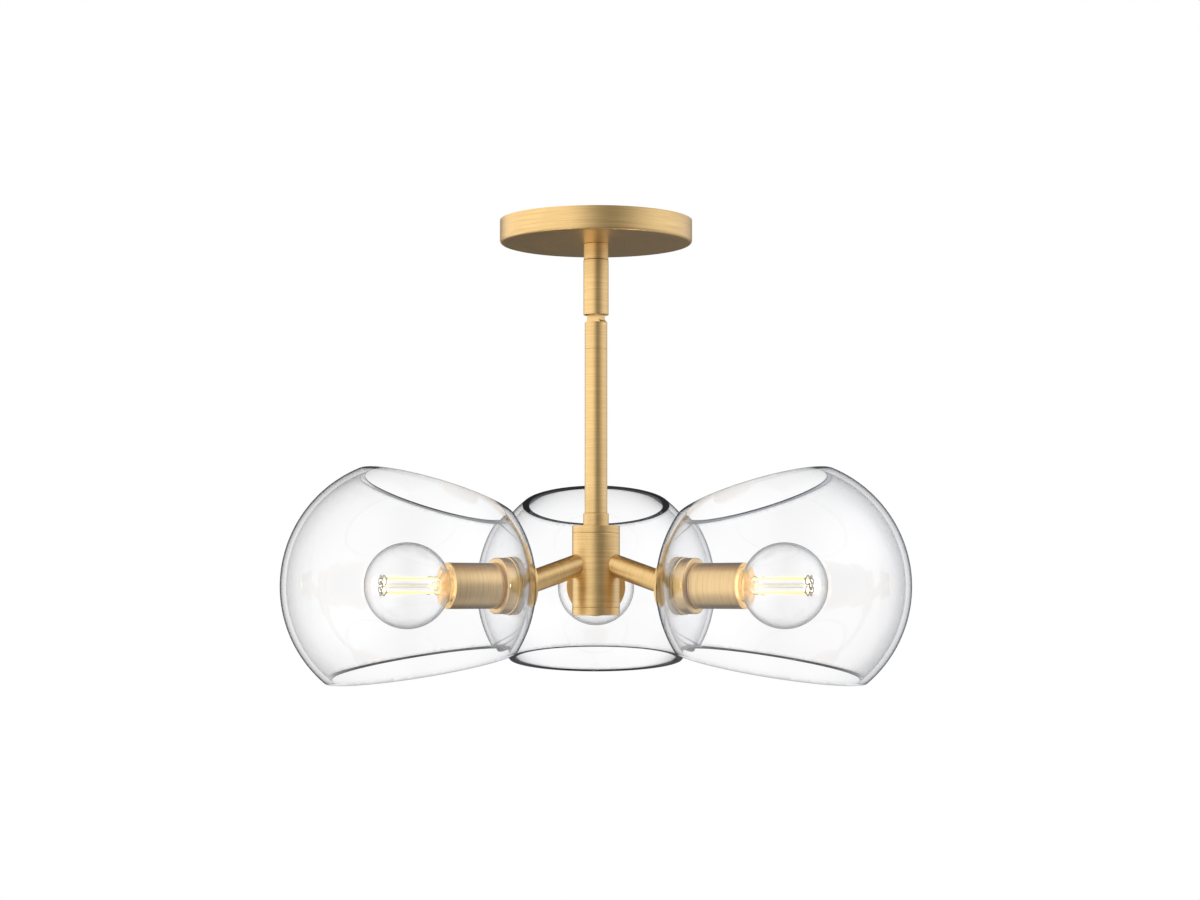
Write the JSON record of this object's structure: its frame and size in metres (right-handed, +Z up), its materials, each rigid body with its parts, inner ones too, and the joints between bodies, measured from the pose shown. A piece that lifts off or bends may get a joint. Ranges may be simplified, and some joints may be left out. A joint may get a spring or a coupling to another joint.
{
  "type": "stem-hung ceiling light",
  "caption": "Stem-hung ceiling light: a brushed gold hub on a swivel stem, sloping arms and open clear glass globes around filament lamps.",
  "frame": {"origin": "on the ceiling plane, midway between the bracket's two outlet-box screw slots", "axes": "+Z up into the ceiling, +X along the bracket, from the left light to the right one, -Y towards the viewer; one light points along +Y"},
  "size_m": [0.4194, 0.386, 0.3217],
  "materials": {
    "brushed_gold": "brushed, aged gold plate under clear lacquer",
    "zinc_steel": "bright zinc plate",
    "ground_green": "green finish of an earthing screw",
    "clear_glass": "clear blown glass, polished rims",
    "lamp_glass": "clear thin lamp glass",
    "mount_glass": "clear glass rod",
    "gasket": "translucent silicone",
    "porcelain": "white porcelain, warm in the lamp's light",
    "contact_brass": "bare brass",
    "cap_nickel": "nickel-plated cap",
    "insulator": "black glass",
    "filament": "yellow phosphor stick on a thin carrier"
  },
  "bodies": {
    "ceiling_mount": {"ceiling_bracket": "zinc_steel", "ground_screw": "ground_green", "lock_washer": "zinc_steel", "bracket_nut": "zinc_steel", "ceiling_nipple": "zinc_steel", "canopy": "brushed_gold", "canopy_collar": "brushed_gold"},
    "swivel": {"swivel_sleeve": "brushed_gold", "swivel_yoke": "zinc_steel", "swivel_pins": "zinc_steel"},
    "fixture": {"swivel_knuckle": "brushed_gold", "stem_nipple": "zinc_steel", "stem_rod": "brushed_gold", "stem_collar": "brushed_gold", "hub_nipple": "zinc_steel", "hub_nut": "zinc_steel", "hub_top_cap": "brushed_gold", "hub_body": "brushed_gold", "hub_bottom_cap": "brushed_gold", "arm_1": "brushed_gold", "seat_disc_1": "brushed_gold", "shade_gaskets_1": "gasket", "glass_shade_1": "clear_glass", "socket_cup_1": "brushed_gold", "lampholder_1": "porcelain", "lampholder_contacts_1": "contact_brass", "arm_2": "brushed_gold", "seat_disc_2": "brushed_gold", "shade_gaskets_2": "gasket", "glass_shade_2": "clear_glass", "socket_cup_2": "brushed_gold", "lampholder_2": "porcelain", "lampholder_contacts_2": "contact_brass", "arm_3": "brushed_gold", "seat_disc_3": "brushed_gold", "shade_gaskets_3": "gasket", "glass_shade_3": "clear_glass", "socket_cup_3": "brushed_gold", "lampholder_3": "porcelain", "lampholder_contacts_3": "contact_brass"},
    "ring_1": {"retaining_ring_1": "brushed_gold"},
    "bulb_1": {"bulb_envelope_1": "lamp_glass", "bulb_cap_1": "cap_nickel", "bulb_insulator_1": "insulator", "bulb_mount_1": "mount_glass", "bulb_filaments_1": "filament"},
    "ring_2": {"retaining_ring_2": "brushed_gold"},
    "bulb_2": {"bulb_envelope_2": "lamp_glass", "bulb_cap_2": "cap_nickel", "bulb_insulator_2": "insulator", "bulb_mount_2": "mount_glass", "bulb_filaments_2": "filament"},
    "ring_3": {"retaining_ring_3": "brushed_gold"},
    "bulb_3": {"bulb_envelope_3": "lamp_glass", "bulb_cap_3": "cap_nickel", "bulb_insulator_3": "insulator", "bulb_mount_3": "mount_glass", "bulb_filaments_3": "filament"}
  },
  "joints": [
    {"name": "swivel_turn", "type": "hinge", "parent": "ceiling_mount", "child": "swivel", "pos_m": [0, 0, -0.0633], "axis": [0, 0, 1], "range_deg": [-170, 170]},
    {"name": "swivel_tilt", "type": "hinge", "parent": "swivel", "child": "fixture", "pos_m": [0, 0, -0.0633], "axis": [0.6769, 0.7361, 0], "range_deg": [-20, 20]},
    {"name": "ring_1_slide", "type": "slide", "parent": "fixture", "child": "ring_1", "axis": [0, 1, 0], "range_m": [0, 0.037]},
    {"name": "bulb_1_slide", "type": "slide", "parent": "fixture", "child": "bulb_1", "axis": [0, 1, 0], "range_m": [0, 0.032]},
    {"name": "ring_2_slide", "type": "slide", "parent": "fixture", "child": "ring_2", "axis": [-0.866, -0.5, 0], "range_m": [0, 0.037]},
    {"name": "bulb_2_slide", "type": "slide", "parent": "fixture", "child": "bulb_2", "axis": [-0.866, -0.5, 0], "range_m": [0, 0.032]},
    {"name": "ring_3_slide", "type": "slide", "parent": "fixture", "child": "ring_3", "axis": [0.866, -0.5, 0], "range_m": [0, 0.037]},
    {"name": "bulb_3_slide", "type": "slide", "parent": "fixture", "child": "bulb_3", "axis": [0.866, -0.5, 0], "range_m": [0, 0.032]}
  ]
}
